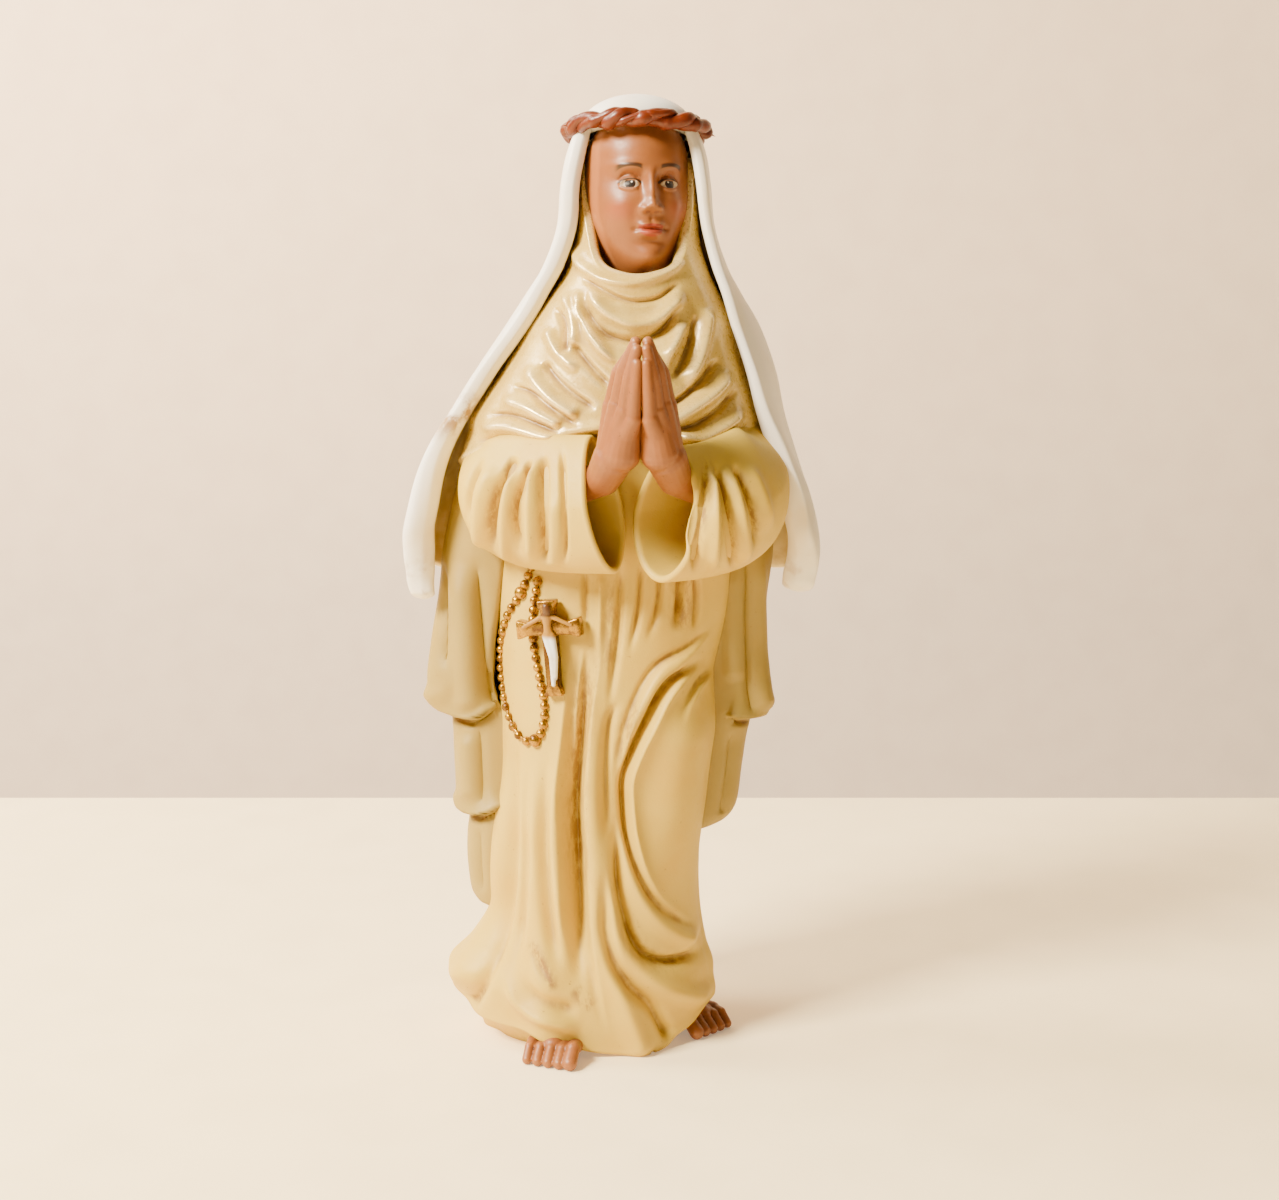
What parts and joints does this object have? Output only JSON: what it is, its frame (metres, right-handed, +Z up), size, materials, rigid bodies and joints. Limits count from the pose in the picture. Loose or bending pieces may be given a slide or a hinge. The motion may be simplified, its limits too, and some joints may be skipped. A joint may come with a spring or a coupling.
{
  "type": "devotional statue",
  "caption": "Small standing statue of a veiled nun with hands joined in prayer, gilt rosary and crucifix at the side, bare feet, to stand on a shelf.",
  "frame": {"origin": "on the flat underside of the habit, under the middle of the figure", "axes": "+Z up along the figure, the figure faces -Y, +X is towards the figure's left hand"},
  "size_m": [0.0668, 0.0494, 0.15],
  "materials": {
    "habit_cream": "hand-painted cast resin, matt cream with a brown wash in the folds",
    "cowl_pearl": "hand-painted cast resin, pearl cream with a satin sheen and a brown wash",
    "veil_white": "hand-painted cast resin, satin white outside and cream inside",
    "flesh": "hand-painted cast resin, satin flesh tint with painted features",
    "crown_russet": "hand-painted cast resin, glossy russet brown",
    "gilt": "gilt paint over relief, worn in places",
    "corpus_white": "painted white"
  },
  "bodies": {
    "root": {"habit_body": "habit_cream", "cowl": "cowl_pearl", "right_sleeve": "habit_cream", "left_sleeve": "habit_cream", "mantle": "habit_cream", "veil": "veil_white", "head": "flesh", "right_hand": "flesh", "left_hand": "flesh", "right_foot": "flesh", "left_foot": "flesh", "crown_of_thorns": "crown_russet", "rosary_beads": "gilt", "crucifix": "gilt", "corpus": "corpus_white"}
  },
  "joints": []
}
